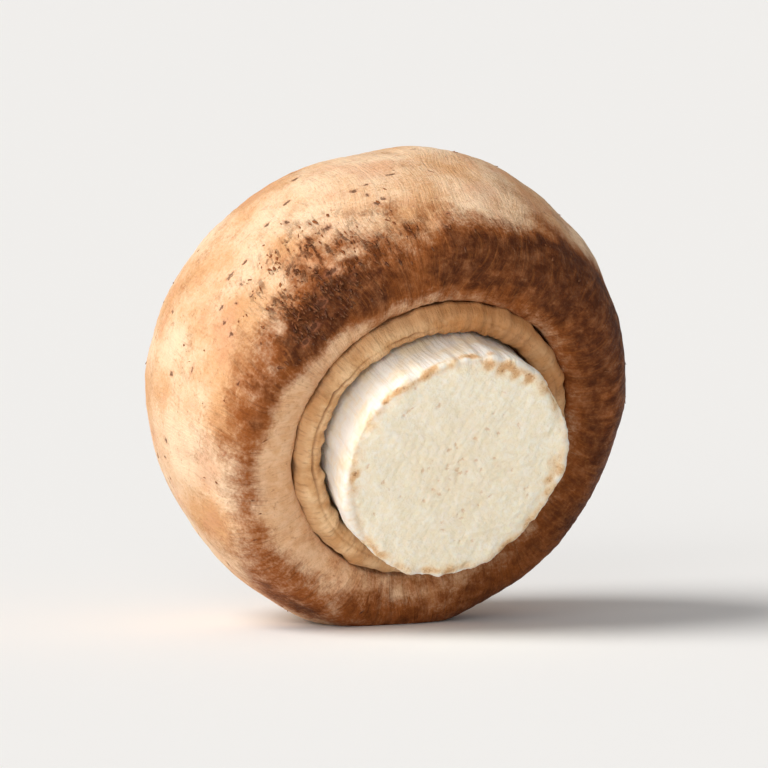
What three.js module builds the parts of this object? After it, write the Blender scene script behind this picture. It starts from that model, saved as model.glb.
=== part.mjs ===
// A brown-capped button mushroom lying on its side: a domed cap whose margin rolls inwards, the partial veil
// that rings the stem just inside that margin, and a short thick stem with a knife-cut end.
// Millimetres, +Z up. The stem points towards -Y and a little down. The mushroom rests on a flattened spot of
// its cap, with the origin on the surface below the middle of its box.
import * as THREE from "three";

// Driving sizes. Heights are measured along the mushroom's own axis from its widest ring, towards the crown.
const CAP_RADIUS = 22;
const CROWN_HEIGHT = 16.8;
const MARGIN_DROP = 12.8; // the rolled margin's lowest ring, below the widest ring
const MARGIN_RADIUS = 17.2; // radius of that lowest ring
const NECK_RADIUS = 10.6; // of the stem, inside the veil
const CUT_RADIUS = 11.1; // of its cut end
const STEM_SHOWING = 5.2; // stem beyond the margin's lowest ring, up to the cut
const VEIL_WIDTH = 2.3;
const AXIS_DIP = THREE.MathUtils.degToRad(21); // the stem's end points this far below the horizontal
const RESTING_DEPTH = 0.9; // how far the cap is flattened where it rests
const OVALITY = 0.02; // share of the radius that swells and shrinks twice round the axis
const THREE_LOBES = 0.008; // and three times
const OPENING_SHIFT = new THREE.Vector2(0.2, 0.5); // the opening and stem lie this far off the crown's axis
const MARGIN_WAVE = 0.35; // rise and fall of the margin round the axis

// Sizes that follow from them.
const SEAM = 0.3; // free gap between neighbouring pieces
const CREASE = 0.45; // open crease between veil and stem
const VEIL_INNER = NECK_RADIUS + CREASE;
const VEIL_OUTER = VEIL_INNER + VEIL_WIDTH;
const SKIN_EDGE = VEIL_OUTER + SEAM; // where the cap's skin ends against the veil
const CURL_RISE = 1.5; // the margin curls back up this far before it meets the veil
const VEIL_DEPTH = 3.8; // from the veil's rounded lip up to its root
const VEIL_LIP = -MARGIN_DROP - 0.1;
const VEIL_ROOT = VEIL_LIP + VEIL_DEPTH;
const STEM_TOP = -2.4;
const STEM_TOP_RADIUS = 8.2;
const CUT_END = -MARGIN_DROP - STEM_SHOWING;
const CUT_EDGE_ROUND = 0.5;

// Mesh fineness.
const ROUND_STEPS = 80;
const DOME_STEPS = 13;
const ROLL_STEPS = 11;
const CURL_STEPS = 4;
const LIP_STEPS = 6;
const SWELL_STEPS = 4;
const EDGE_STEPS = 3;

const QUARTER = Math.PI / 2;

// steps + 1 points of a curve whose parameter runs from 0 to a quarter turn.
function quarterCurve(steps, pointAt) {
  return Array.from({ length: steps + 1 }, (_, i) => pointAt((QUARTER * i) / steps));
}

// sin and cos raised to a power, which fills a quarter ellipse out a little.
const full = (value) => Math.max(value, 0) ** 0.92;

// Cap: dome, rolled margin, the curl back to the veil, then the seat of veil and stem up to the axis.
function capProfile() {
  const dome = quarterCurve(DOME_STEPS, (a) =>
    new THREE.Vector2(CAP_RADIUS * full(Math.sin(a)), CROWN_HEIGHT * full(Math.cos(a))));
  const roll = quarterCurve(ROLL_STEPS, (a) =>
    new THREE.Vector2(
      MARGIN_RADIUS + (CAP_RADIUS - MARGIN_RADIUS) * full(Math.cos(a)),
      -MARGIN_DROP * full(Math.sin(a))));
  const curl = quarterCurve(CURL_STEPS, (a) =>
    new THREE.Vector2(
      MARGIN_RADIUS - (MARGIN_RADIUS - SKIN_EDGE) * Math.sin(a),
      -MARGIN_DROP + CURL_RISE * (1 - Math.cos(a))));
  const seat = [
    new THREE.Vector2(SKIN_EDGE, VEIL_ROOT + SEAM),
    new THREE.Vector2(NECK_RADIUS + SEAM, VEIL_ROOT + SEAM),
    new THREE.Vector2(STEM_TOP_RADIUS + SEAM, STEM_TOP + SEAM),
    new THREE.Vector2(0, STEM_TOP + SEAM),
  ];
  return [...dome, ...roll.slice(1), ...curl.slice(1), ...seat];
}

// Veil: a closed ring section, flat at its root and rounded at the lip that shows.
function veilProfile() {
  const middle = (VEIL_INNER + VEIL_OUTER) / 2;
  const lip = Array.from({ length: 2 * LIP_STEPS + 1 }, (_, i) => {
    const a = (Math.PI * i) / (2 * LIP_STEPS);
    return new THREE.Vector2(
      middle + (VEIL_WIDTH / 2) * Math.cos(a),
      VEIL_LIP + (VEIL_WIDTH / 2) * (1 - Math.sin(a)));
  });
  const root = [new THREE.Vector2(VEIL_INNER, VEIL_ROOT), new THREE.Vector2(VEIL_OUTER, VEIL_ROOT)];
  return [...lip, ...root, lip[0].clone()];
}

// Stem: a tapered top that sits in the cap, a neck inside the veil that swells softly, and the cut end with a
// worn edge.
function stemProfile() {
  const top = [
    new THREE.Vector2(0, STEM_TOP),
    new THREE.Vector2(STEM_TOP_RADIUS, STEM_TOP),
    new THREE.Vector2(NECK_RADIUS, VEIL_ROOT),
  ];
  const swell = quarterCurve(SWELL_STEPS, (a) =>
    new THREE.Vector2(
      NECK_RADIUS + ((CUT_RADIUS - NECK_RADIUS) * (1 - Math.cos(2 * a))) / 2,
      VEIL_LIP + ((CUT_END + CUT_EDGE_ROUND - VEIL_LIP) * a) / QUARTER));
  const edge = quarterCurve(EDGE_STEPS, (a) =>
    new THREE.Vector2(
      CUT_RADIUS - CUT_EDGE_ROUND * (1 - Math.cos(a)),
      CUT_END + CUT_EDGE_ROUND * (1 - Math.sin(a))));
  return [...top, ...swell, ...edge.slice(1), new THREE.Vector2(0, CUT_END)];
}

// The uneven growth: soft lobes round the axis, a wavy margin, and an opening a little off the axis. It bends
// the space that the pieces stand in, so they keep the gaps between them.
function grow(v) {
  const around = Math.atan2(v.y, v.x);
  const out = Math.hypot(v.x, v.y) / CAP_RADIUS;
  const lobes = 1 + OVALITY * Math.cos(2 * around + 1.9) + THREE_LOBES * Math.cos(3 * around + 2.1);
  const below = THREE.MathUtils.smoothstep(-v.z, 0, MARGIN_DROP);
  v.x = v.x * lobes + OPENING_SHIFT.x * below;
  v.y = v.y * lobes + OPENING_SHIFT.y * below;
  v.z += MARGIN_WAVE * Math.cos(2 * around - 0.9) * out ** 2;
}

// The surface that it lies on, seen from the mushroom's own frame, and the flattened spot which that leaves.
const tilt = new THREE.Quaternion().setFromAxisAngle(new THREE.Vector3(1, 0, 0), AXIS_DIP - QUARTER);
const down = new THREE.Vector3(0, 0, -1).applyQuaternion(tilt.clone().invert());

// The profiles are drawn from the crown down; the lathe needs them upwards, for faces that look outwards.
function piece(name, profile, color, roughness) {
  const geometry = new THREE.LatheGeometry(profile.reverse(), ROUND_STEPS).rotateX(QUARTER);
  const position = geometry.getAttribute("position");
  const v = new THREE.Vector3();
  for (let i = 0; i < position.count; i++) {
    v.fromBufferAttribute(position, i);
    grow(v);
    position.setXYZ(i, v.x, v.y, v.z);
  }
  const material = new THREE.MeshStandardMaterial({ color, roughness, metalness: 0 });
  const mesh = new THREE.Mesh(geometry, material);
  mesh.name = name;
  return mesh;
}

// Presses whatever lies beyond the resting plane back onto it.
function flattenWhereItRests(mesh) {
  const position = mesh.geometry.getAttribute("position");
  const v = new THREE.Vector3();
  let lowest = 0;
  for (let i = 0; i < position.count; i++) {
    lowest = Math.max(lowest, v.fromBufferAttribute(position, i).dot(down));
  }
  const rest = new THREE.Plane(down, RESTING_DEPTH - lowest);
  for (let i = 0; i < position.count; i++) {
    v.fromBufferAttribute(position, i);
    const beyond = rest.distanceToPoint(v);
    if (beyond > 0) {
      v.addScaledVector(down, -beyond);
      position.setXYZ(i, v.x, v.y, v.z);
    }
  }
}

const cap = piece("cap", capProfile(), 0xb98257, 0.7);
const veil = piece("veil", veilProfile(), 0xd9b184, 0.75);
const stem = piece("stem", stemProfile(), 0xf3e9da, 0.65);
flattenWhereItRests(cap);

const mushroom = new THREE.Group();
mushroom.add(cap, veil, stem);
mushroom.quaternion.copy(tilt);

// Stand it on the surface, with the origin below the middle of its box.
const box = new THREE.Box3().setFromObject(mushroom, true);
const middle = box.getCenter(new THREE.Vector3());
mushroom.position.set(-middle.x, -middle.y, -box.min.z);

export default mushroom;
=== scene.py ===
import math

import bpy
import numpy as np
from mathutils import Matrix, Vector


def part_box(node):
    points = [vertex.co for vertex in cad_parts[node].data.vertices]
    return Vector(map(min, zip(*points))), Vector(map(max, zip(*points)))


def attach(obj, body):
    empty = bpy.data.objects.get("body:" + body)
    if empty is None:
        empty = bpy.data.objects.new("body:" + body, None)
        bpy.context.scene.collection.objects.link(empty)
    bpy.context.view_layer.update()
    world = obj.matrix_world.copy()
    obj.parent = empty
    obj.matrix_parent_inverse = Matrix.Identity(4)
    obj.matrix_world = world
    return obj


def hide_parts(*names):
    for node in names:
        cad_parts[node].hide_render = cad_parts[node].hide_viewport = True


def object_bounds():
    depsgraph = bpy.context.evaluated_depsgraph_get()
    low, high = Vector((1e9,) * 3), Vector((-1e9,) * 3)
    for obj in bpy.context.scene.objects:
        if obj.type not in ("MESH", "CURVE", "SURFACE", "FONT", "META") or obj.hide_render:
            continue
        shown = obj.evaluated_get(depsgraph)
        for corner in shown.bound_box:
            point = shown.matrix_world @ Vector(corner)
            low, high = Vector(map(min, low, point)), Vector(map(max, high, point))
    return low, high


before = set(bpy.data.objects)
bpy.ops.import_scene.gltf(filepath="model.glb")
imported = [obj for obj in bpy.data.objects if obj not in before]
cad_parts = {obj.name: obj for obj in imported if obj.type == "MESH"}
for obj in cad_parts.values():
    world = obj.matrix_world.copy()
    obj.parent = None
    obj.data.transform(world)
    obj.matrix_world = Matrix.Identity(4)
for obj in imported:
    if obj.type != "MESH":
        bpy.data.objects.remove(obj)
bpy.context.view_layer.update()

# shapes are worked out in millimetres, in the mushroom's own frame: crown up +Z, stem down -Z
toMetres = 0.001

# how the whole mushroom grew, in millimetres, with its turns round the axis in radians
growth = {
    "capRadius": 22.0,
    "crownHeight": 16.8,
    "marginDrop": 12.8,     # lowest ring of the rolled margin, below the widest ring
    "marginRadius": 17.2,
    "neckRadius": 10.6,     # stem inside the veil
    "cutRadius": 11.1,      # stem at its cut end
    "stemShowing": 5.2,
    "veilWidth": 2.3,
    "seam": 0.3,            # gap from veil to skin
    "crease": 0.45,         # gap from veil to stem
    "curlRise": 1.5,
    "veilDepth": 3.8,       # from the veil's lip up to its root
    "veilProud": 0.1,       # the lip stands this far past the margin's lowest ring
    "fullness": 0.92,       # power of sine and cosine, under 1 for fuller curves
    "ovality": 0.02,
    "ovalTurn": 1.9,
    "threeLobes": 0.008,
    "lobesTurn": 2.1,
    "openingShift": (0.2, 0.5),
    "marginWave": 0.35,
    "waveTurn": 0.9,
    "axisDip": 21.0,        # degrees that the stem points below the horizontal
    "restingDepth": 0.9,    # the soft cap flattens this much where it lies
    "restSoftness": 0.12,   # and the flat blends into the round over about this much
}
veilInner = growth["neckRadius"] + growth["crease"]
veilOuter = veilInner + growth["veilWidth"]
skinEdge = veilOuter + growth["seam"]
veilLip = -growth["marginDrop"] - growth["veilProud"]
veilRoot = veilLip + growth["veilDepth"]
cutEnd = -growth["marginDrop"] - growth["stemShowing"]


# Smooth noise of about unit size: a sum of sine waves, each along a random direction with a random phase.
def ripples(points, wavelength, seed):
    waves = 26
    draw = np.random.default_rng(seed)
    way = draw.normal(size=(waves, 3))
    way /= np.linalg.norm(way, axis=1, keepdims=True)
    pitch = 2 * np.pi / (wavelength * draw.uniform(0.7, 1.4, waves))
    phase = draw.uniform(0, 2 * np.pi, waves)
    return np.sin(points @ (way * pitch[:, None]).T + phase).sum(-1) / np.sqrt(waves / 2)


# The S curve 3t^2 - 2t^3 of how far x has gone from low to high, held at 0 and 1.
def ease(x, low, high):
    t = np.clip((x - low) / (high - low), 0, 1)
    return t * t * (3 - 2 * t)


# A bell of height 1 at zero: exp(-x^2 / width^2).
def bell(x, width):
    return np.exp(-(x / width) ** 2)


# Distance in degrees between two directions round the axis, never more than 180.
def turnBetween(around, degrees):
    return np.abs((np.degrees(around) - degrees + 180) % 360 - 180)


# An oval bell on a surface round one place: exp(-(arc / width)^2 - (way along / length)^2), where arc is the
# radius times the turn from that place.
def spot(r, a, along, degrees, at, width, length):
    arc = r * np.radians(turnBetween(a, degrees))
    return np.exp(-(arc / width) ** 2 - ((along - at) / length) ** 2)


# A quarter of a fuller ellipse from (r0, z0) to (r1, z1): the radius follows sine and the height cosine, each
# to the power fullness, or the other way round if the curve starts by going down.
def quarter(steps, r0, z0, r1, z1, startsDown=False):
    a = np.linspace(0, np.pi / 2, steps)
    fast = np.clip(np.sin(a), 0, 1) ** growth["fullness"]
    slow = np.clip(np.cos(a), 0, 1) ** growth["fullness"]
    if startsDown:
        return np.stack([r1 + (r0 - r1) * slow, z0 + (z1 - z0) * fast], 1)
    return np.stack([r0 + (r1 - r0) * fast, z1 + (z0 - z1) * slow], 1)


# A straight run of points between two (r, z) places: start times 1 - t plus end times t.
def straight(steps, start, end):
    t = np.linspace(0, 1, steps)[:, None]
    return np.array(start) * (1 - t) + np.array(end) * t


# Joins runs of a profile and leaves out the point that a run shares with the one before it.
def joined(*runs):
    return np.concatenate([runs[0]] + [run[1:] for run in runs[1:]])


# Length along a profile to each of its points: the running sum of the steps between them.
def lengthAlong(profile):
    steps = np.hypot(*np.diff(profile, axis=0).T)
    return np.concatenate([[0], np.cumsum(steps)])


# A profile turned round the axis: x = r cos(a), y = r sin(a), z = z, as a grid of rows by columns.
def turned(profile, columns):
    a = np.linspace(0, 2 * np.pi, columns, endpoint=False)
    r, z = profile[:, :1], profile[:, 1:]
    return np.stack([r * np.cos(a), r * np.sin(a), z + 0 * a], -1), a


# Uneven growth: x and y times 1 + ovality cos(2a) + threeLobes cos(3a), each with its own turn, then shifted
# towards the opening below the widest ring; z rises by marginWave cos(2a) times the radius squared.
def grow(points):
    g = growth
    x, y, z = points[..., 0], points[..., 1], points[..., 2]
    a = np.arctan2(y, x)
    lobes = 1 + g["ovality"] * np.cos(2 * a + g["ovalTurn"])
    lobes += g["threeLobes"] * np.cos(3 * a + g["lobesTurn"])
    below = ease(-z, 0, g["marginDrop"])
    out = np.hypot(x, y) / g["capRadius"]
    shiftX, shiftY = g["openingShift"]
    wave = g["marginWave"] * np.cos(2 * a - g["waveTurn"]) * out ** 2
    return np.stack([x * lobes + shiftX * below, y * lobes + shiftY * below, z + wave], -1)


# Unit normals of a grid: the cross product of the steps along its rows and round its columns. A row that has
# shrunk to a point takes the mean of the row beside it.
def normalsOf(grid, closedProfile=False):
    if closedProfile:
        along = np.roll(grid, -1, 0) - np.roll(grid, 1, 0)
    else:
        along = np.gradient(grid, axis=0)
    across = np.roll(grid, -1, 1) - np.roll(grid, 1, 1)
    n = np.cross(along, across)
    if not closedProfile:
        n[0] = n[1].mean(0)
        n[-1] = n[-2].mean(0)
    return n / np.maximum(np.linalg.norm(n, axis=-1, keepdims=True), 1e-12)


# The cap's skin down to the margin's lowest ring: a fuller quarter ellipse for the dome and one for the roll.
def skinProfile(domeRows, rollRows):
    g = growth
    return joined(
        quarter(domeRows, 0, g["crownHeight"], g["capRadius"], 0),
        quarter(rollRows, g["capRadius"], 0, g["marginRadius"], -g["marginDrop"], startsDown=True),
    )


# A turn about X lays the crown back to +Y, then a move puts the skin in the middle of the CAD cap's box. A
# coarse skin is enough to find its own box.
dip = math.radians(growth["axisDip"])
layDown = np.array([[1, 0, 0], [0, math.sin(dip), math.cos(dip)], [0, -math.cos(dip), math.sin(dip)]])
laid = grow(turned(skinProfile(40, 40), 360)[0]).reshape(-1, 3) @ layDown.T
cadLow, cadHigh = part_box("cap")
cadMiddle = np.array((cadLow + cadHigh) / 2) / toMetres
move = cadMiddle - (laid.min(0) + laid.max(0)) / 2
move[2] = -(laid[:, 2].min() + growth["restingDepth"])


# Own frame to the part's frame, in metres: turned and moved, and flesh that would reach below the surface is
# pressed flat by z = (z + sqrt(z^2 + softness^2)) / 2, which never falls below zero.
def placed(points):
    row = points @ layDown.T + move
    z = row[..., 2]
    row[..., 2] = (z + np.sqrt(z * z + growth["restSoftness"] ** 2)) / 2
    return row * toMetres


# Grid values as one list of vertices: every row of a closed profile. An open profile starts and ends on the
# axis, so each of its end rows becomes one vertex with the row's mean value.
def asVertices(values, closedProfile):
    width = values.shape[2:]
    if closedProfile:
        return values.reshape((-1,) + width)
    top = values[0].mean(0, keepdims=True)
    bottom = values[-1].mean(0, keepdims=True)
    return np.concatenate([top, values[1:-1].reshape((-1,) + width), bottom])


# Faces of a grid whose last column joins its first. Between rows they are quads; an end row that is one point
# gets a fan of triangles. A closed profile's last row joins its first.
def facesOf(rows, columns, closedProfile):
    j = np.arange(columns)
    k = (j + 1) % columns
    if closedProfile:
        i = np.arange(rows)[:, None]
        below = (i + 1) % rows
        quads = np.stack([i * columns + j, below * columns + j, below * columns + k, i * columns + k], -1)
        return quads.reshape(-1, 4), np.empty((0, 3), int)
    i = np.arange(rows - 3)[:, None]
    first, second = 1 + i * columns, 1 + (i + 1) * columns
    quads = np.stack([first + j, second + j, second + k, first + k], -1).reshape(-1, 4)
    last = 1 + (rows - 2) * columns
    lastRow = last - columns
    top = np.stack([0 * j, 1 + j, 1 + k], -1)
    bottom = np.stack([lastRow + j, 0 * j + last, lastRow + k], -1)
    return quads, np.concatenate([top, bottom])


# A smooth-shaded mesh object from vertices, quads and triangles, with named values on its vertices.
def objectFrom(name, co, quads, triangles, values):
    mesh = bpy.data.meshes.new(name)
    mesh.vertices.add(len(co))
    mesh.vertices.foreach_set("co", co.astype(np.float32).ravel())
    corners = np.concatenate([quads.ravel(), triangles.ravel()]).astype(np.int32)
    starts = np.concatenate([np.arange(len(quads)) * 4, len(quads) * 4 + np.arange(len(triangles)) * 3])
    mesh.loops.add(len(corners))
    mesh.loops.foreach_set("vertex_index", corners)
    mesh.polygons.add(len(starts))
    mesh.polygons.foreach_set("loop_start", starts.astype(np.int32))
    mesh.polygons.foreach_set("use_smooth", np.ones(len(starts), bool))
    for key, value in values.items():
        kind = "FLOAT_VECTOR" if value.ndim == 2 else "FLOAT"
        field = "vector" if value.ndim == 2 else "value"
        attribute = mesh.attributes.new(key, kind, "POINT")
        attribute.data.foreach_set(field, value.astype(np.float32).ravel())
    mesh.update(calc_edges=True)
    mesh.validate()
    made = bpy.data.objects.new(name, mesh)
    bpy.context.scene.collection.objects.link(made)
    return made


# The same from a grid of points in the mushroom's own frame and grids of values.
def objectFromGrid(name, grid, values, closedProfile=False):
    rows, columns = grid.shape[:2]
    quads, fans = facesOf(rows, columns, closedProfile)
    onVertices = {key: asVertices(value, closedProfile) for key, value in values.items()}
    return objectFrom(name, asVertices(placed(grid), closedProfile), quads, fans, onVertices)


# A small hand for a material's nodes: each call adds a node, links the sockets it is given and sets plain
# values.
class Nodes:
    def __init__(self, name):
        self.material = bpy.data.materials.new(name)
        self.material.use_nodes = True
        self.tree = self.material.node_tree
        self.tree.nodes.clear()

    def fill(self, socket, value):
        if isinstance(value, bpy.types.NodeSocket):
            self.tree.links.new(value, socket)
        else:
            socket.default_value = value

    def add(self, kind, inputs=None, **settings):
        node = self.tree.nodes.new(kind)
        for key, value in settings.items():
            setattr(node, key, value)
        for key, value in (inputs or {}).items():
            self.fill(node.inputs[key], value)
        return node

    def value(self, name):
        return self.add("ShaderNodeAttribute", attribute_name=name).outputs["Fac"]

    def place(self, name):
        return self.add("ShaderNodeAttribute", attribute_name=name).outputs["Vector"]

    def stretched(self, vector, scale):
        return self.add("ShaderNodeMapping", {"Vector": vector, "Scale": scale}).outputs["Vector"]

    # Object coordinates in millimetres
    def millimetres(self):
        return self.stretched(self.add("ShaderNodeTexCoord").outputs["Object"], (1000, 1000, 1000))

    def noise(self, vector, scale, detail=4.0, rough=0.6, distortion=0.0):
        wanted = {"Vector": vector, "Scale": scale, "Detail": detail, "Roughness": rough,
                  "Distortion": distortion}
        return self.add("ShaderNodeTexNoise", wanted).outputs["Fac"]

    def math(self, operation, *values):
        return self.add("ShaderNodeMath", dict(enumerate(values)), operation=operation).outputs[0]

    def times(self, first, second):
        return self.math("MULTIPLY", first, second)

    # value + amount * (noise - 0.5), so that an edge wanders with the noise
    def sway(self, value, noise, amount):
        return self.math("MULTIPLY_ADD", self.math("SUBTRACT", noise, 0.5), amount, value)

    # a smooth step: toLow up to low, toHigh from high on
    def span(self, value, low, high, toLow=0.0, toHigh=1.0):
        wanted = {"Value": value, "From Min": low, "From Max": high, "To Min": toLow, "To Max": toHigh}
        return self.add("ShaderNodeMapRange", wanted, interpolation_type="SMOOTHSTEP").outputs["Result"]

    # a colour mix; for colours the node uses inputs 0, 6 and 7 and output 2
    def blend(self, share, first, second):
        node = self.add("ShaderNodeMix", {0: share}, data_type="RGBA")
        for socket, colour in ((node.inputs[6], first), (node.inputs[7], second)):
            self.fill(socket, colour + (1.0,) if isinstance(colour, tuple) else colour)
        return node.outputs[2]

    def bump(self, height, distance, strength=1.0):
        wanted = {"Height": height, "Distance": distance, "Strength": strength}
        return self.add("ShaderNodeBump", wanted).outputs["Normal"]

    def finish(self, inputs):
        shader = self.add("ShaderNodeBsdfPrincipled", inputs)
        output = self.add("ShaderNodeOutputMaterial")
        self.tree.links.new(shader.outputs[0], output.inputs["Surface"])
        return self.material


# A place is degrees round the axis and mm along the skin from the margin's lowest ring, below 0 outside it.
cap = {
    "columns": 448,
    "domeRows": 92,
    "rollRows": 76,
    "curlRows": 26,
    "seatRows": 4,
    "seatRadius": 8.5,
    "seatTop": -2.1,
    "skinLength": 44.0,     # from the margin's lowest ring to the crown
    "skinFade": 0.6,        # relief dies out over this length where the skin ends
    "undulation": 0.12,     # soft lumps, 13 mm across
    "ripple": 0.04,         # and 5 mm
    "fibreRelief": 0.014,
    "fibreFade": (3, 9),    # fibres die out between these radii, towards the crown
    "scaleRelief": 0.13,    # torn scales of the tufted patches
    "wrinkleRelief": 0.06,  # radial wrinkles of the margin's inside
    "fibreWave": 0.022,     # radians that the fibres sway
    "swirl": 0.6,           # radians that they turn at the crown
    "swirlReach": 6.0,
    # the brown band is partly the skin's own browner margin and partly painted shade on the roll's underside
    "bandAt": -11.5,        # the brown band starts here along the skin, on average
    # painted shade and light: the band starts nearer the margin on the lit left at bandTurn and further up on
    # the shaded right
    "bandShadeTilt": 2.5,        # its start lies this much nearer the margin at bandTurn, and further opposite
    "bandTurn": 205,
    "bandWander": 1.3,
    "bandDepth": 9.5,       # it deepens over this length
    # painted shade: the band is darkest at the top right, under the cap's overhang
    "shadeTurn": 290,        # the band is darkest here
    "shadeSpread": 80,
    # painted light: the band fades and the margin's inside is palest on the lit left
    "litTurn": 172,        # the margin's inside is palest here
    "litSpread": 62,
    "crownSpot": (3.0, -2.0),
    "crownSpread": 10.5,
    "pitDepth": 0.10,
    "strayPits": 280,
    # small pits and dark specks: place, mm across, mm along
    "pits": (
        (251, -12.1, 0.5, 0.25), (254, -9.5, 0.45, 0.3), (256, -9.9, 0.35, 0.3), (253, -11.0, 0.3, 0.25),
        (240, -9.1, 0.35, 0.3), (236, -15.2, 0.6, 0.25), (244, -21.5, 0.5, 0.3), (205, -9.4, 0.35, 0.3),
        (207, -10.8, 0.4, 0.25), (204, -7.9, 0.3, 0.3), (185, -13.3, 0.3, 0.4), (168, -12.9, 0.3, 0.3),
        (214, -12.7, 0.7, 0.25), (229, -14.4, 0.5, 0.2), (233, -12.6, 0.3, 0.4), (262, -13.4, 0.6, 0.2),
        (221, -1.6, 0.55, 0.4), (227, -2.8, 0.6, 0.35), (216, -1.1, 0.5, 0.3), (234, -4.6, 0.8, 0.3),
    ),
    # wide dents: place, mm across, mm along, depth
    "dents": (
        (222, -1.8, 3.4, 1.7, 0.6),
        (240, -3.0, 3.0, 1.5, 0.22),
        (164, -6.1, 1.1, 0.8, 0.22),
        (154, -5.4, 1.3, 0.7, 0.20),
        (285, -6.5, 5.0, 2.2, 0.18),
        (330, -8.0, 3.5, 2.5, 0.16),
        (60, -12.0, 4.0, 3.0, 0.20),
        (118, -3.5, 3.0, 1.4, 0.22),
    ),
    # tufted patches of torn scales: place, mm across, mm along, strength
    "tufts": (
        (230, -6.5, 6.0, 5.0, 1.0),
        (223, -2.5, 4.0, 2.0, 0.8),
        (255, -6.0, 5.0, 2.4, 0.45),
        (292, -5.0, 6.0, 2.5, 0.4),
        (40, -35.0, 5.0, 5.0, 0.8),
        (150, -37.0, 6.0, 4.0, 0.55),
        (95, -9.0, 6.0, 3.0, 0.4),
        (20, -10.0, 6.0, 3.5, 0.45),
    ),
    # linear colours of the skin
    "peach": (0.89, 0.645, 0.43),
    "tan": (0.68, 0.36, 0.165),
    "blush": (0.71, 0.33, 0.19),
    "scuff": (0.50, 0.19, 0.10),
    "brown": (0.28, 0.078, 0.014),
    "rust": (0.42, 0.145, 0.035),
    "umber": (0.062, 0.014, 0.003),
    "margin": (0.68, 0.37, 0.18),
    "pit": (0.055, 0.018, 0.007),
}


# The whole section of the cap, and the lengths of its skin and its curl. The skin ends in the curl: the
# radius goes in from the margin as sin(t) and the height rises as 1 - cos(t). Straight runs then make the
# seat of veil and stem, up to the axis.
def capProfile():
    g, c = growth, cap
    skin = skinProfile(c["domeRows"], c["rollRows"])
    t = np.linspace(0, np.pi / 2, c["curlRows"])
    curl = np.stack([g["marginRadius"] - (g["marginRadius"] - skinEdge) * np.sin(t),
                     g["curlRise"] * (1 - np.cos(t)) - g["marginDrop"]], 1)
    top = veilRoot + g["seam"]
    neck = g["neckRadius"] + g["seam"]
    seat = joined(
        straight(c["seatRows"], curl[-1], (skinEdge, top)),
        straight(c["seatRows"], (skinEdge, top), (neck, top)),
        straight(c["seatRows"], (neck, top), (c["seatRadius"], c["seatTop"])),
        straight(c["seatRows"], (c["seatRadius"], c["seatTop"]), (0, c["seatTop"])),
    )
    marginAt = lengthAlong(skin)[-1]
    curlLength = lengthAlong(curl)[-1]
    return joined(skin, curl, seat), marginAt, curlLength


# Shares of the skin's colours. The brown band is an S curve along the skin, from a start that follows the
# cosine of the turn; it is partly the skin's own browner margin and partly painted shade on the roll's
# underside, reaching further up on the shaded right, and it fades on the margin's inside, most on the lit
# left as painted light. Crown and tufts add bells of brown; the band's darkest stretch at the top right adds
# a bell of painted shade under the overhang, and the dome's right side gets painted shade. The pale share is
# an S curve from about the margin's lowest ring inwards, the margin's own paler inside, strongest on the lit
# left as painted light.
def skinShares(grid, r, a, along):
    c = cap
    # painted light on the lit left: the band is lighter and fades more there, and the pale share grows
    left = bell(turnBetween(a, c["litTurn"]), c["litSpread"])
    # painted shade: the band's start follows the light, reaching further up the dome on the shaded right
    start = c["bandAt"] + c["bandShadeTilt"] * np.cos(a - np.radians(c["bandTurn"]))
    start += c["bandWander"] * ripples(grid, 10, 12)
    wander = ripples(grid, 4, 17)
    fade = (0.32 + 0.55 * left) * ease(along, 0.7 - 2.3 * left, 2.9 - 1.7 * left + 0.5 * wander)
    band = ease(along, start, start + c["bandDepth"]) * (1 - fade)

    crownX, crownY = c["crownSpot"]
    fromCrown = np.hypot(grid[..., 0] - crownX, grid[..., 1] - crownY) + 1.6 * ripples(grid, 7, 13)
    crown = bell(fromCrown, c["crownSpread"]) * (along < -20)
    tufted = sum(strength * spot(r, a, along, *at) for *at, strength in c["tufts"])
    tufted = np.clip(tufted * (1 + 0.45 * ripples(grid, 2.6, 14)), 0, 1)

    brown = (0.88 - 0.13 * left) * band + 0.5 * crown + 0.34 * tufted
    brown += 0.06 * ripples(grid, 6, 15) + 0.05 * ripples(grid, 2.6, 16)
    # painted shade under the overhang: more brown just outside the margin's lowest ring at the top right
    brown += 0.5 * band * bell(turnBetween(a, c["shadeTurn"]), c["shadeSpread"]) * bell(along + 2.5, 4.2)
    # painted shade: the dome's right side, away from the light, gets more brown
    brown += 0.2 * bell(turnBetween(a, 345), 50) * ease(along, -22, -8)  # the shaded side of the dome
    pale = ease(along, 0.9 - 2.2 * left + 0.6 * wander, 3.2 - 1.9 * left) * (0.1 + 0.9 * left)
    return brown, pale, tufted, crown


# The highest of many oval bells on the skin: first the listed pits, then stray ones, which lie closer
# together towards the crown.
def skinPits(r, a, along):
    c = cap
    pits = np.zeros_like(a)
    for place in c["pits"]:
        pits = np.maximum(pits, spot(r, a, along, *place))
    draw = np.random.default_rng(25)
    for _ in range(c["strayPits"]):
        place = draw.uniform(0, 360), 1 - c["skinLength"] * draw.uniform(0.02, 1) ** 0.6
        width, length = 0.14 + 0.5 * draw.uniform() ** 2, draw.uniform(0.14, 0.32)
        pits = np.maximum(pits, draw.uniform(0.5, 1.1) * spot(r, a, along, *place, width, length))
    return pits


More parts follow.
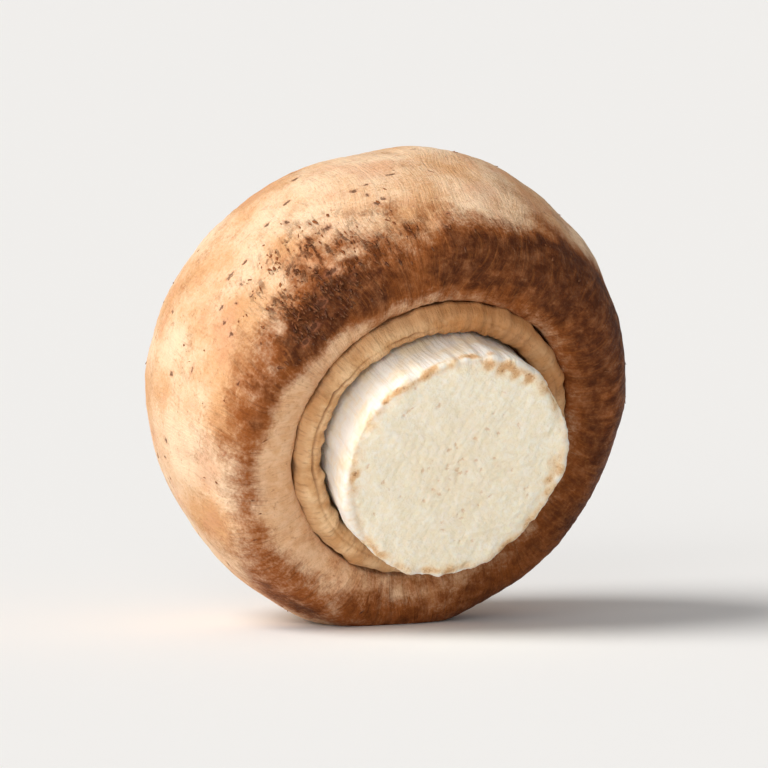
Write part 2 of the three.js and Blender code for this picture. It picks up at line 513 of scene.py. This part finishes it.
# The profile turned and grown; each point then moves along its normal by lumps + ripples + fibres + scales
# + wrinkles - pits - dents. Fibre coordinates are the cap's radius times cos and sin of the swayed turn, and
# the length along the skin, so that a pattern stretched along the third of them runs from crown to margin.
def buildCap():
    c = cap
    profile, marginAt, edge = capProfile()
    grid, around = turned(profile, c["columns"])
    a = around + 0 * grid[..., 0]
    r = profile[:, :1] + 0 * a
    along = lengthAlong(profile)[:, None] - marginAt + 0 * a
    skin = 1 - ease(along, edge, edge + c["skinFade"])
    bent = a + c["fibreWave"] * ripples(grid, 8, 11) + c["swirl"] * np.exp(-r / c["swirlReach"])
    fibre = np.stack([growth["capRadius"] * np.cos(bent), growth["capRadius"] * np.sin(bent), along], -1)

    brown, pale, tufted, crown = skinShares(grid, r, a, along)
    blush = 0.5 + 0.25 * ripples(grid, 12, 23) + 0.12 * ripples(grid, 4.5, 24)
    pits = skinPits(r, a, along)
    sunk = sum(depth * spot(r, a, along, *at) for *at, depth in c["dents"])

    streaks = ripples(fibre * (1, 1, 0.12), 1.0, 18) * ease(r, *c["fibreFade"])
    scales = np.clip(ripples(fibre * (1, 1, 0.5), 1.5, 19), 0, 2) + 0.5 * np.abs(ripples(grid, 0.9, 20))
    wrinkles = ripples(fibre * (1, 1, 0.2), 1.7, 26) * bell(along - 1.6, 2.2)
    relief = (
        c["undulation"] * ripples(grid, 13, 21)
        + c["ripple"] * ripples(grid, 5, 22)
        + c["fibreRelief"] * streaks * (1 + tufted)
        + c["scaleRelief"] * scales * tufted
        + c["wrinkleRelief"] * wrinkles
        - c["pitDepth"] * pits
        - sunk
    )
    body = grow(grid)
    normals = normalsOf(body)
    body += normals * (relief * skin)[..., None]
    made = objectFromGrid("mushroom_cap", body, {
        "fibre": fibre, "brown": brown, "blush": blush, "pale": pale, "tufted": tufted, "pits": pits,
        "sunk": np.clip(sunk / 0.4, 0, 1),
    })
    print("cap:", len(made.data.vertices), "vertices")
    return made, (body, normals, r, along, tufted, crown, brown)


# Peach to tan in clouds and specks, pink scuffs across the fibres, the brown band with its fibrils, partly
# painted shade, umber that is partly painted shade in the dents and the band's deepest stretch, the pale
# margin with painted light on the lit left, then pits and dust; the bump is fibrils, felt, pits and scales.
def capMaterial():
    n = Nodes("capSkin")
    c = cap
    own = n.millimetres()
    fibre = n.place("fibre")
    hairs = n.noise(n.stretched(fibre, (1.0, 1.0, 0.12)), 3.4)
    strands = n.noise(n.stretched(fibre, (1.0, 1.0, 0.16)), 1.1)
    flecks = n.noise(n.stretched(fibre, (1.0, 1.0, 0.42)), 1.7, 5, 0.66, 0.35)
    rub = n.noise(n.stretched(fibre, (0.35, 0.35, 1.3)), 0.9, 5, 0.65, 0.5)
    felt = n.noise(own, 3.6, 5, 0.65)
    mottle = n.noise(own, 0.85, 5, 0.62, 0.3)
    cloud = n.noise(own, 0.22, 4, 0.55)

    tan = n.sway(n.value("blush"), cloud, 1.2)
    tan = n.sway(n.sway(tan, mottle, 0.9), felt, 0.9)
    colour = n.blend(n.span(tan, -0.1, 1.2), c["peach"], c["tan"])
    colour = n.blend(n.times(n.span(cloud, 0.5, 0.68), 0.35), colour, c["blush"])
    scuffs = n.times(n.span(rub, 0.56, 0.72), n.span(felt, 0.35, 0.65, 0.1, 0.6))
    colour = n.blend(scuffs, colour, c["scuff"])

    # brown share: the skin's own brown, with painted shade in the band, at the top right and on the dome's
    # right side
    brown = n.sway(n.value("brown"), strands, 0.5)
    brown = n.sway(n.sway(brown, mottle, 0.7), felt, 0.55)
    colour = n.blend(n.span(brown, 0.02, 0.9), colour, c["brown"])
    # umber: partly the skin's darkest brown, partly painted shade in the dents and in the band's deepest
    # stretch
    deep = n.sway(n.math("MULTIPLY_ADD", n.value("sunk"), 0.6, brown), cloud, 1.0)
    deepShare = n.times(n.span(deep, 0.64, 1.4), n.span(mottle, 0.3, 0.64, 0.52, 0.95))
    colour = n.blend(deepShare, colour, c["umber"])

    # single fibrils, dark where the skin is brown and faint elsewhere, with rusty gaps between them
    share = n.times(n.span(hairs, 0.50, 0.72), n.span(brown, 0.0, 0.75, 0.08, 0.42))
    colour = n.blend(share, colour, c["umber"])
    gaps = n.times(n.span(hairs, 0.46, 0.30), n.span(brown, 0.2, 0.8, 0.0, 0.25))
    colour = n.blend(gaps, colour, c["rust"])
    scales = n.times(n.span(flecks, 0.50, 0.62), n.value("tufted"))
    colour = n.blend(n.times(scales, 0.75), colour, c["umber"])

    inner = n.blend(n.span(hairs, 0.45, 0.75, 0.0, 0.4), c["margin"], c["brown"])
    inner = n.blend(n.span(mottle, 0.35, 0.65, 0.45, 0.0), inner, c["peach"])
    # the pale share: the margin's own paler inside, with painted light on the lit left
    pale = n.sway(n.sway(n.value("pale"), mottle, -0.65), felt, -0.45)
    colour = n.blend(n.span(pale, -0.1, 1.1, 0.0, 0.85), colour, inner)

    pit = n.sway(n.value("pits"), felt, 1.3)
    colour = n.blend(n.span(pit, 0.05, 0.6, 0.0, 0.4), colour, c["scuff"])
    pit = n.span(pit, 0.45, 0.75)
    colour = n.blend(n.times(pit, 0.72), colour, c["pit"])
    dust = n.times(n.span(n.noise(own, 2.1, 4, 0.65), 0.60, 0.70), 0.4)
    colour = n.blend(dust, colour, c["brown"])

    height = n.math("MULTIPLY_ADD", hairs, 0.8, n.times(felt, 0.6))
    height = n.math("SUBTRACT", height, n.times(pit, 0.5))
    height = n.math("MULTIPLY_ADD", scales, 0.6, height)
    return n.finish({
        "Base Color": colour,
        "Roughness": n.span(felt, 0.3, 0.7, 0.5, 0.7),
        "Normal": n.bump(height, 0.00019, 0.95),
        "Subsurface Weight": 0.1,
        "Subsurface Radius": (1.0, 0.5, 0.25),
        "Subsurface Scale": 0.001,
        "Specular IOR Level": 0.1,
    })


# fibrils and torn scales that stand off the cap
fibrils = {
    "count": 760,
    "stations": 5,
    "length": (0.3, 0.95),
    "width": (0.12, 0.32),
    "thickness": 0.03,
    "lift": (0.00, 0.08),   # how far the free tip stands off the skin
    "sink": 0.05,           # the rooted end lies this deep
    "veer": 0.35,           # radians that they stray from the way of the fibres
    "bendRadius": 16.0,     # about the skin's own curve, so that a sliver hugs it
}


# Slivers that follow the skin. Each runs along u from 0 to 1: its middle line goes length * u along the skin
# and outwards by lift u^2 - sink (1 - u) - (length u)^2 / (2 bendRadius). Its half width is
# width / 2 * sin(pi u)^0.7, and v goes once round its flat diamond section: sideways cos(v), outwards sin(v).
def buildFibrils(capBody):
    f = fibrils
    body, normals, r, along, tufted, crown, brown = capBody
    draw = np.random.default_rng(61)
    weight = (0.006 + tufted ** 2 + 0.2 * np.clip(crown, 0, 1) ** 2) * (along < -0.5) * np.maximum(r, 0.5)
    weight[:2] = 0
    chosen = draw.choice(weight.size, f["count"], replace=False, p=(weight / weight.sum()).ravel())
    row, column = np.unravel_index(chosen, weight.shape)
    root = body[row, column]
    up = normals[row, column]
    way = body[row + 1, column] - body[row - 1, column]
    way /= np.linalg.norm(way, axis=1, keepdims=True)
    side = np.cross(up, way)
    veer = draw.normal(0, f["veer"], f["count"])[:, None]
    way, side = way * np.cos(veer) + side * np.sin(veer), side * np.cos(veer) - way * np.sin(veer)
    length = draw.uniform(*f["length"], f["count"])[:, None, None]
    width = draw.uniform(*f["width"], f["count"])[:, None, None]
    lift = draw.uniform(*f["lift"], f["count"])[:, None, None]

    u = np.linspace(0, 1, f["stations"])[None, :, None]
    v = np.array([0, 0.5, 1, 1.5])[None, None, :] * np.pi
    half = width / 2 * np.sin(np.pi * np.clip(u, 0.04, 0.96)) ** 0.7
    forward = length * u + 0 * v
    bend = (length * u) ** 2 / (2 * f["bendRadius"])
    outward = lift * u ** 2 - f["sink"] * (1 - u) - bend + f["thickness"] * np.sin(v)
    across = half * np.cos(v)
    points = (root[:, None, None] + forward[..., None] * way[:, None, None]
              + across[..., None] * side[:, None, None] + outward[..., None] * up[:, None, None])

    m, k = f["stations"], v.size
    base = np.arange(f["count"]) * m * k
    first = base[:, None, None] + np.arange(m - 1)[None, :, None] * k
    j = np.arange(k)[None, None, :]
    nextJ = (j + 1) % k
    sides = np.stack([first + j, first + nextJ, first + k + nextJ, first + k + j], -1).reshape(-1, 4)
    rootEnds = np.stack([base + 3, base + 2, base + 1, base], -1)
    tipEnds = np.stack([base + (m - 1) * k + i for i in range(k)], -1)
    shade = 0.15 + 0.6 * np.clip(brown[row, column], 0, 1.1) + draw.uniform(-0.15, 0.3, f["count"])
    tip = (u + 0 * width + 0 * v).reshape(-1)
    quads = np.concatenate([sides, rootEnds, tipEnds])
    made = objectFrom("mushroom_fibrils", placed(points.reshape(-1, 3)), quads, np.empty((0, 3), int), {
        "shade": np.repeat(shade, m * k), "tip": tip,
    })
    print("fibrils:", len(made.data.polygons), "faces")
    return made


# The cap's brown and umber by each sliver's own shade, paler at its tip.
def fibrilMaterial():
    n = Nodes("capFibrils")
    c = cap
    grain = n.noise(n.millimetres(), 6, 3, 0.55)
    tone = n.sway(n.value("shade"), grain, 0.8)
    colour = n.blend(n.span(tone, 0.0, 1.2), c["brown"], c["umber"])
    colour = n.blend(n.span(n.value("tip"), 0.5, 1.0, 0.0, 0.16), colour, c["tan"])
    return n.finish({
        "Base Color": colour,
        "Roughness": 0.7,
        "Normal": n.bump(grain, 0.00004),
        "Specular IOR Level": 0.3,
    })


veil = {
    "columns": 448,
    "wallRows": 8,
    "lipRows": 40,
    "ringRadius": 14.0,     # for patterns that run round the veil
    "fold": 0.30,           # depth of the groove between the two folds
    "foldAt": 200,          # degrees where the folds stand furthest apart
    "foldSpread": 75,
    "lipWave": 0.10,
    "wrinkle": 0.05,
    "stranding": 0.018,
    "flare": 0.36,          # the outer edge flares this far towards the skin
    "flareAt": -11.4,       # height of the flare
    "ragged": 0.07,
    "overhangShadeAt": 300,         # degrees where the membrane gets painted shade under the cap's overhang
    "overhangShadeSpread": 75,
    # tears and notches of the outer edge: degrees, depth, width in degrees
    "tears": ((206, 0.45, 1.8), (288, 0.35, 1.4), (338, 0.4, 2.5), (52, 0.45, 3.0), (118, 0.3, 2.0),
              (252, 0.2, 3.5), (168, 0.25, 2.5)),
    # linear colours of the membrane
    "cream": (0.76, 0.51, 0.285),
    "tan": (0.58, 0.315, 0.135),
    "overhangShade": (0.48, 0.195, 0.055),
    "brown": (0.26, 0.105, 0.034),
}


# A closed section turned round the stem: straight walls and a root, and a lip that is a half circle. Each
# point moves along its normal by lip waves + wrinkles - groove + flare - tears + the ragged inner edge. The
# groove is a bell across the lip's middle, and each tear is a bell round the axis.
def buildVeil():
    g, v = growth, veil
    middle = (veilInner + veilOuter) / 2
    half = g["veilWidth"] / 2
    t = np.linspace(0, np.pi, v["lipRows"])
    lip = np.stack([middle + half * np.cos(t), veilLip + half * (1 - np.sin(t))], 1)
    outer = straight(v["wallRows"], (veilOuter, veilRoot), lip[0])
    inner = straight(v["wallRows"], lip[-1], (veilInner, veilRoot))
    root = straight(v["wallRows"], (veilInner, veilRoot), (veilOuter, veilRoot))
    profile = joined(outer, lip, inner, root)[:-1]
    grid, around = turned(profile, v["columns"])
    a = around + 0 * grid[..., 0]
    z = grid[..., 2]
    across = (np.hypot(grid[..., 0], grid[..., 1]) - middle) / half  # -1 at the stem, 1 at the skin
    shown = ease(-z, -veilRoot, -veilLip)
    ring = np.stack([v["ringRadius"] * np.cos(a), v["ringRadius"] * np.sin(a), 0 * a], -1)
    strands = np.stack([ring[..., 0], ring[..., 1], 0.4 * across], -1)

    # the flare brings the outer edge against the skin, and stops short of it here and there
    flare = bell(z - v["flareAt"], 0.42) * (across > 0.7) * (1 + 0.45 * ripples(ring, 2.4, 35))
    apart = 0.35 + 0.65 * bell(turnBetween(a, v["foldAt"]), v["foldSpread"])
    wander = 0.12 * ripples(ring, 8, 34)
    groove = bell(across + 0.02 - wander, 0.13) * apart * (0.75 + 0.25 * ripples(ring, 5, 33))
    tear = sum(depth * bell(turnBetween(a, at), width) for at, depth, width in v["tears"])
    relief = (
        v["lipWave"] * ripples(ring, 6, 31)
        + v["wrinkle"] * ripples(strands, 1.3, 32)
        + v["stranding"] * ripples(strands, 0.55, 37)
        - v["fold"] * groove
        + v["flare"] * flare
        - tear * bell(across - 0.55, 0.6)
        + v["ragged"] * ripples(ring, 1.5, 36) * bell(across + 0.9, 0.35)
    )
    # painted shade under the cap's overhang, round the top right
    overhangShade = bell(turnBetween(a, v["overhangShadeAt"]), v["overhangShadeSpread"]) + 0.25 * ripples(ring, 6, 38)
    body = grow(grid)
    body += normalsOf(body, True) * (relief * shown)[..., None]
    made = objectFromGrid("mushroom_veil", body, {
        "strands": strands, "across": across, "groove": groove + tear, "overhangShade": overhangShade,
    }, True)
    print("veil:", len(made.data.vertices), "vertices")
    return made


# Cream with tan clouds, browner towards the skin and along its threads, with painted shade in its grooves
# and tears and, at the top right, under the cap's overhang.
def veilMaterial():
    n = Nodes("veilMembrane")
    c = veil
    own = n.millimetres()
    threads = n.noise(n.stretched(n.place("strands"), (1, 1, 1.2)), 2.6)
    cloud = n.noise(own, 0.45, 3, 0.55)
    felt = n.noise(own, 3.8, 5, 0.65)
    colour = n.blend(n.span(cloud, 0.4, 0.66), c["cream"], c["tan"])
    colour = n.blend(n.span(n.value("across"), 0.35, 1.1, 0.0, 0.6), colour, c["tan"])
    # painted shade under the cap's overhang
    colour = n.blend(n.span(n.value("overhangShade"), 0.0, 1.1, 0.0, 0.75), colour, c["overhangShade"])
    colour = n.blend(n.span(threads, 0.48, 0.75, 0.0, 0.5), colour, c["brown"])
    colour = n.blend(n.span(felt, 0.52, 0.68, 0.0, 0.45), colour, c["tan"])
    # painted shade in the groove between the folds and in the tears
    colour = n.blend(n.span(n.value("groove"), 0.1, 1.0, 0.0, 0.55), colour, c["brown"])
    return n.finish({
        "Base Color": colour,
        "Roughness": 0.7,
        "Normal": n.bump(n.math("MULTIPLY_ADD", felt, 0.6, threads), 0.00016),
        "Subsurface Weight": 0.15,
        "Subsurface Radius": (1.0, 0.6, 0.35),
        "Subsurface Scale": 0.001,
        "Specular IOR Level": 0.3,
    })


stem = {
    "columns": 400,
    "topRows": 5,
    "sideRows": 46,
    "edgeRows": 9,
    "faceRows": 60,
    "top": -2.4,            # height of the stem's top inside the cap
    "topRadius": 8.2,
    "grainRadius": 11.0,    # for the grain that runs along the stem
    "edgeRound": 0.5,       # radius of the worn edge round the cut
    "grain": 0.05,
    "lumps": 0.10,
    "sideGrain": 0.022,
    "edgeWander": 0.10,
    "faceWander": 0.05,
    "knifeMarks": 0.02,
    "pores": 0.02,
    "nickCount": 60,
    "nickDepth": 0.12,
    "bruiseDepth": 0.05,
    "pithRadius": 6.5,
    "knifeTurn": 24,        # degrees of the knife's way across the cut
    # bruises along the cut edge: degrees, mm before it (below 0 on the cut face), width, length, strength
    "bruises": ((213, 0.7, 1.6, 0.5, 1.0), (226, 0.5, 0.9, 0.4, 0.7), (239, 0.1, 1.3, 0.5, 0.9),
                (252, 0.6, 1.5, 0.4, 0.8), (268, 1.1, 2.2, 0.6, 0.9), (284, -0.3, 1.6, 0.6, 1.0),
                (298, -0.5, 2.2, 0.6, 1.0), (320, 0.2, 2.0, 0.7, 0.8), (10, -0.4, 3.0, 0.8, 0.7),
                (48, 0.3, 2.5, 0.6, 0.9), (88, -0.2, 2.0, 0.6, 0.8), (130, 0.2, 2.6, 0.7, 0.7),
                (175, -0.3, 1.5, 0.5, 0.8)),
    # linear colours of the flesh
    "white": (0.87, 0.83, 0.765),
    "cream": (0.86, 0.73, 0.53),
    "cutCream": (0.90, 0.81, 0.62),
    "cutWhite": (0.93, 0.88, 0.76),
    "stain": (0.80, 0.57, 0.32),
    "bruise": (0.60, 0.32, 0.13),
    "deepBruise": (0.30, 0.12, 0.04),
}


# The stem's section, and the length along it to the cut: a tapered top inside the cap, a side whose radius
# swells as (1 - cos(pi t)) / 2, a quarter circle at the cut edge, and the flat cut.
def stemProfile():
    g, m = growth, stem
    low = cutEnd + m["edgeRound"]
    top = joined(
        straight(m["topRows"], (0, m["top"]), (m["topRadius"], m["top"])),
        straight(m["topRows"], (m["topRadius"], m["top"]), (g["neckRadius"], veilRoot)),
        straight(m["topRows"], (g["neckRadius"], veilRoot), (g["neckRadius"], veilLip)),
    )
    t = np.linspace(0, 1, m["sideRows"])
    swell = (g["cutRadius"] - g["neckRadius"]) * (1 - np.cos(np.pi * t)) / 2
    side = np.stack([g["neckRadius"] + swell, veilLip + (low - veilLip) * t], 1)
    t = np.linspace(0, np.pi / 2, m["edgeRows"])
    edge = np.stack([g["cutRadius"] - m["edgeRound"] * (1 - np.cos(t)),
                     low - m["edgeRound"] * np.sin(t)], 1)
    face = straight(m["faceRows"], edge[-1], (0, cutEnd))
    upToCut = joined(top, side, edge)
    return joined(upToCut, face), lengthAlong(upToCut)[-1]


# The profile turned and grown; each point moves along its normal by lumps + grain on the side, by wander
# + knife marks + pores - nicks on the cut, by the wander of the edge between them, and less the bruises.
def buildStem():
    m = stem
    profile, cutFrom = stemProfile()
    grid, around = turned(profile, m["columns"])
    a = around + 0 * grid[..., 0]
    r = profile[:, :1] + 0 * a
    z = profile[:, 1:] + 0 * a
    before = cutFrom - lengthAlong(profile)[:, None] + 0 * a
    cut = 1 - ease(before, -0.5, 0.2)
    shown = ease(-z, 8, 11)
    grain = np.stack([m["grainRadius"] * np.cos(a), m["grainRadius"] * np.sin(a), z], -1)

    bruise = sum(strength * spot(r, a, before, *at) for *at, strength in m["bruises"])
    bruise = bruise * (0.85 + 0.5 * ripples(grid, 1.3, 45)) + 0.3 * bell(before, 0.5)
    smudged = bell(before - 0.8 - 0.8 * ripples(grid, 3, 53), 1.0)
    bruise += 0.22 * smudged * np.clip(ripples(grid, 2.2, 54), 0, 1)
    turn = np.radians(m["knifeTurn"])
    knife = grid * (0.12 * math.cos(turn), 1, 0) + grid[..., [1, 0, 2]] * (0, 0.5 * math.sin(turn), 0)
    draw = np.random.default_rng(49)
    nicks = np.zeros_like(a)
    for _ in range(m["nickCount"]):
        place = draw.uniform(0, 360), -draw.uniform(0.3, 10.5)
        width, length = draw.uniform(0.12, 0.5), draw.uniform(0.1, 0.3)
        nicks = np.maximum(nicks, spot(r, a, before, *place, width, length))
    pith = bell(r + 1.2 * ripples(grid, 4, 51), m["pithRadius"])
    longGrain = grain * (1, 1, 0.12)
    side = (
        m["lumps"] * ripples(grid, 8, 41)
        + m["grain"] * ripples(longGrain, 1.4, 42)
        + m["sideGrain"] * ripples(longGrain, 0.5, 52)
    )
    face = (
        m["faceWander"] * ripples(grid, 3.5, 44)
        + m["knifeMarks"] * ripples(knife, 0.9, 46)
        + m["pores"] * ripples(grid, 0.75, 48)
        - m["nickDepth"] * nicks
    )
    relief = side * (1 - cut) + face * cut - m["bruiseDepth"] * np.clip(bruise, 0, 1)
    relief += m["edgeWander"] * ripples(grid, 3.0, 43) * bell(before, 1.1)
    body = grow(grid)
    body += normalsOf(body) * (relief * shown)[..., None]
    made = objectFromGrid("mushroom_stem", body, {
        "grain": grain, "cut": cut, "bruise": bruise, "nicks": nicks * cut, "pith": pith * cut,
    })
    print("stem:", len(made.data.vertices), "vertices")
    return made


# White with silky creamy grain on the side, a crumbly cream face with a paler weft on the cut, and bruises.
def stemMaterial():
    n = Nodes("stemFlesh")
    c = stem
    own = n.millimetres()
    cut = n.value("cut")
    silk = n.noise(n.stretched(n.place("grain"), (1, 1, 0.1)), 2.4)
    cloud = n.noise(own, 0.35, 4, 0.55)
    crumb = n.noise(own, 4.5, 5, 0.65)
    fuzz = n.noise(own, 1.4)
    weft = n.noise(n.stretched(own, (1.0, 0.35, 1.0)), 1.6, 5, 0.65)

    colour = n.blend(n.span(cloud, 0.42, 0.72), c["white"], c["cream"])
    colour = n.blend(n.span(silk, 0.5, 0.72, 0.0, 0.6), colour, c["cream"])
    threads = n.times(n.span(silk, 0.62, 0.78), n.span(fuzz, 0.45, 0.6, 0.0, 0.5))
    colour = n.blend(threads, colour, c["stain"])
    face = n.blend(n.span(weft, 0.38, 0.66), c["cutCream"], c["cutWhite"])
    face = n.blend(n.times(n.value("pith"), 0.45), face, c["cream"])
    face = n.blend(n.times(n.span(crumb, 0.56, 0.70), 0.35), face, c["cream"])
    colour = n.blend(cut, colour, face)
    nick = n.sway(n.value("nicks"), crumb, 1.5)
    colour = n.blend(n.span(nick, 0.4, 1.0, 0.0, 0.5), colour, c["bruise"])

    # bruises: a faint wide stain, a browner heart that breaks into crumbs, and a few dark specks
    stain = n.sway(n.value("bruise"), fuzz, 1.1)
    colour = n.blend(n.span(stain, -0.05, 0.9, 0.0, 0.8), colour, c["stain"])
    heart = n.sway(stain, crumb, 2.2)
    colour = n.blend(n.span(heart, 0.45, 1.6, 0.0, 0.8), colour, c["bruise"])
    specks = n.times(n.span(stain, 0.5, 1.2), n.span(n.noise(own, 2.2, 5, 0.7), 0.54, 0.64, 0.0, 0.7))
    colour = n.blend(specks, colour, c["deepBruise"])

    height = n.math("MULTIPLY_ADD", crumb, 0.5, n.times(silk, n.math("SUBTRACT", 1.0, cut)))
    height = n.math("MULTIPLY_ADD", weft, n.times(cut, 0.8), height)
    return n.finish({
        "Base Color": colour,
        "Roughness": 0.6,
        "Normal": n.bump(height, 0.00018),
        "Subsurface Weight": 0.25,
        "Subsurface Radius": (1.0, 0.7, 0.45),
        "Subsurface Scale": 0.0015,
        "Specular IOR Level": 0.3,
    })


# Gives a piece its material and its body, and hides the CAD nodes it stands for; the slot is not used.
def dress(piece, material, slot, *nodes):
    piece.data.materials.append(material)
    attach(piece, "root")
    if nodes:
        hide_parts(*nodes)


capPiece, capBody = buildCap()
dress(capPiece, capMaterial(), "cap_skin", "cap")
dress(buildFibrils(capBody), fibrilMaterial(), "cap_skin")
dress(buildVeil(), veilMaterial(), "veil_membrane", "veil")
dress(buildStem(), stemMaterial(), "stem_flesh", "stem")
print("pieces made")

studio = {
    "floorSize": 12.0,
    "floorColour": (0.88, 0.875, 0.87, 1.0),
    "floorRoughness": 0.8,
    "cameraTurn": -24.8,    # degrees round the mushroom, from straight in front of it
    "cameraRise": 5.0,
    "cameraAway": 1.46,
    "cameraReach": 50.0,
    "lens": 740,
    "skyColour": (1.0, 1.0, 1.0, 1.0),
    "skyStrength": 0.30,
    # wide soft lights: name, turn, rise, brightness of white paper facing it, softness in degrees, colour
    "lights": (
        ("keyLight", -97, 46, 0.88, 40, (1.0, 0.98, 0.95)),
        ("fillLight", -42, 8, 0.57, 50, (1.0, 0.985, 0.96)),
    ),
}


# The unit way to a place at a turn round the mushroom from the front and a rise above the horizontal:
# sin(turn) cos(rise), -cos(turn) cos(rise), sin(rise).
def towards(turn, rise):
    t, e = math.radians(turn), math.radians(rise)
    return Vector((math.sin(t) * math.cos(e), -math.cos(t) * math.cos(e), math.sin(e)))


# Puts an object at a distance from the middle along a way, looking back at the middle.
def aim(made, middle, way, away):
    made.location = middle + way * away
    made.rotation_euler = (-way).to_track_quat("-Z", "Y").to_euler()
    bpy.context.scene.collection.objects.link(made)


low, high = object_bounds()
middle = (Vector(low) + Vector(high)) / 2

floorMesh = bpy.data.meshes.new("floor")
half = studio["floorSize"] / 2
corners = [(-half, -half, 0), (half, -half, 0), (half, half, 0), (-half, half, 0)]
floorMesh.from_pydata(corners, [], [(0, 1, 2, 3)])
floor = bpy.data.objects.new("floor", floorMesh)
bpy.context.scene.collection.objects.link(floor)
floorMesh.materials.append(Nodes("floorPaper").finish({
    "Base Color": studio["floorColour"],
    "Roughness": studio["floorRoughness"],
}))

for name, turn, rise, brightness, softness, colour in studio["lights"]:
    sun = bpy.data.lights.new(name, "SUN")
    sun.energy = brightness * math.pi
    sun.angle = math.radians(softness)
    sun.color = colour
    aim(bpy.data.objects.new(name, sun), middle, towards(turn, rise), 1.0)

world = bpy.data.worlds.new("sky")
world.use_nodes = True
sky = world.node_tree.nodes["Background"]
sky.inputs["Color"].default_value = studio["skyColour"]
sky.inputs["Strength"].default_value = studio["skyStrength"]
bpy.context.scene.world = world

cameraData = bpy.data.cameras.new("camera")
cameraData.lens = studio["lens"]
cameraData.clip_end = studio["cameraReach"]
camera = bpy.data.objects.new("camera", cameraData)
aim(camera, middle, towards(studio["cameraTurn"], studio["cameraRise"]), studio["cameraAway"])
bpy.context.scene.camera = camera
bpy.context.scene.view_settings.view_transform = "Standard"
print("studio ready")
